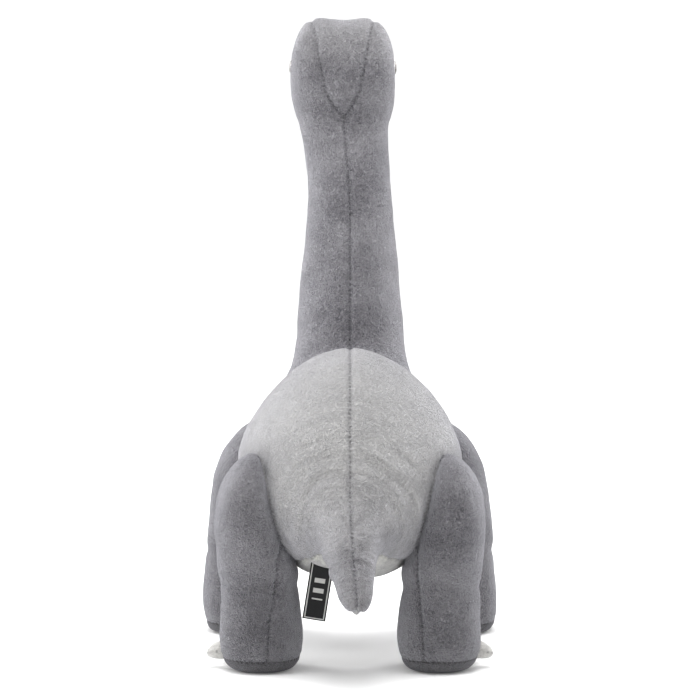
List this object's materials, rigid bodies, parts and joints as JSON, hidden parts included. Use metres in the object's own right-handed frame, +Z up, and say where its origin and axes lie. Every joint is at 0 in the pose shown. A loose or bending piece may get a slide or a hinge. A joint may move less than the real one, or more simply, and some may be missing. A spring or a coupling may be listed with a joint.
{
  "type": "stuffed dinosaur",
  "caption": "Standing plush long-necked dinosaur with sewn panels, fibre filling, bendable neck, head and tail, swinging legs, felt toe claws and a folded seam label.",
  "frame": {"origin": "on the floor under the middle of the object's box", "axes": "+Z up, the face looks along -Y, the tail points along +Y, the dinosaur's left side is +X"},
  "size_m": [0.186, 0.3449, 0.3842],
  "materials": {
    "plush_grey": "matte",
    "plush_pale": "matte",
    "sole": "matte",
    "filling": "matte",
    "claw": "matte",
    "eye": "gloss",
    "washer": "matte",
    "thread": "satin",
    "label": "satin"
  },
  "bodies": {
    "torso": {"torso_panel_left": "plush_grey", "torso_panel_right": "plush_grey", "belly_panel": "plush_pale", "torso_filling": "filling"},
    "neck": {"neck_panel_left": "plush_grey", "neck_panel_right": "plush_grey", "throat_panel": "plush_pale", "neck_filling": "filling"},
    "head": {"head_panel_left": "plush_grey", "head_panel_right": "plush_grey", "head_gusset": "plush_grey", "chin_panel": "plush_pale", "head_filling": "filling", "eye_left": "eye", "eye_right": "eye", "eye_washer_left": "washer", "eye_washer_right": "washer", "nostril_left": "thread", "nostril_right": "thread"},
    "tail": {"tail_panel_left": "plush_grey", "tail_panel_right": "plush_grey", "tail_underside_panel": "plush_pale", "tail_filling": "filling"},
    "hind_left_leg": {"hind_left_outer_panel": "plush_grey", "hind_left_inner_panel": "plush_grey", "hind_left_sole": "sole", "hind_left_filling": "filling", "hind_left_claw_1": "claw", "hind_left_claw_2": "claw", "hind_left_claw_3": "claw"},
    "hind_right_leg": {"hind_right_outer_panel": "plush_grey", "hind_right_inner_panel": "plush_grey", "hind_right_sole": "sole", "hind_right_filling": "filling", "hind_right_claw_1": "claw", "hind_right_claw_2": "claw", "hind_right_claw_3": "claw"},
    "front_left_leg": {"front_left_outer_panel": "plush_grey", "front_left_inner_panel": "plush_grey", "front_left_sole": "sole", "front_left_filling": "filling", "front_left_claw_1": "claw", "front_left_claw_2": "claw", "front_left_claw_3": "claw"},
    "front_right_leg": {"front_right_outer_panel": "plush_grey", "front_right_inner_panel": "plush_grey", "front_right_sole": "sole", "front_right_filling": "filling", "front_right_claw_1": "claw", "front_right_claw_2": "claw", "front_right_claw_3": "claw"},
    "label": {"rear_label": "label"}
  },
  "joints": [
    {"name": "neck_flex", "type": "hinge", "parent": "torso", "child": "neck", "pos_m": [0, -0.052, 0.168], "axis": [1, 0, 0], "range_deg": [-15, 15], "stiffness_Nm_per_rad": 0.8},
    {"name": "head_nod", "type": "hinge", "parent": "neck", "child": "head", "pos_m": [0, -0.09, 0.332], "axis": [1, 0, 0], "range_deg": [-15, 15], "stiffness_Nm_per_rad": 0.3},
    {"name": "tail_lift", "type": "hinge", "parent": "torso", "child": "tail", "pos_m": [0, 0.083, 0.106], "axis": [1, 0, 0], "range_deg": [-10, 15], "stiffness_Nm_per_rad": 0.15},
    {"name": "hind_left_hip_swing", "type": "hinge", "parent": "torso", "child": "hind_left_leg", "pos_m": [0.0645, 0.06, 0.096], "axis": [1, 0, 0], "range_deg": [-20, 20], "stiffness_Nm_per_rad": 0.5},
    {"name": "hind_right_hip_swing", "type": "hinge", "parent": "torso", "child": "hind_right_leg", "pos_m": [-0.0645, 0.06, 0.096], "axis": [1, 0, 0], "range_deg": [-20, 20], "stiffness_Nm_per_rad": 0.5},
    {"name": "front_left_shoulder_swing", "type": "hinge", "parent": "torso", "child": "front_left_leg", "pos_m": [0.066, -0.074, 0.098], "axis": [1, 0, 0], "range_deg": [-20, 20], "stiffness_Nm_per_rad": 0.5},
    {"name": "front_right_shoulder_swing", "type": "hinge", "parent": "torso", "child": "front_right_leg", "pos_m": [-0.066, -0.074, 0.098], "axis": [1, 0, 0], "range_deg": [-20, 20], "stiffness_Nm_per_rad": 0.5},
    {"name": "label_flap", "type": "hinge", "parent": "torso", "child": "label", "pos_m": [0.0178, 0.0855, 0.0735], "axis": [0.9877, 0, 0.1564], "range_deg": [0, 45], "stiffness_Nm_per_rad": 0.001}
  ]
}
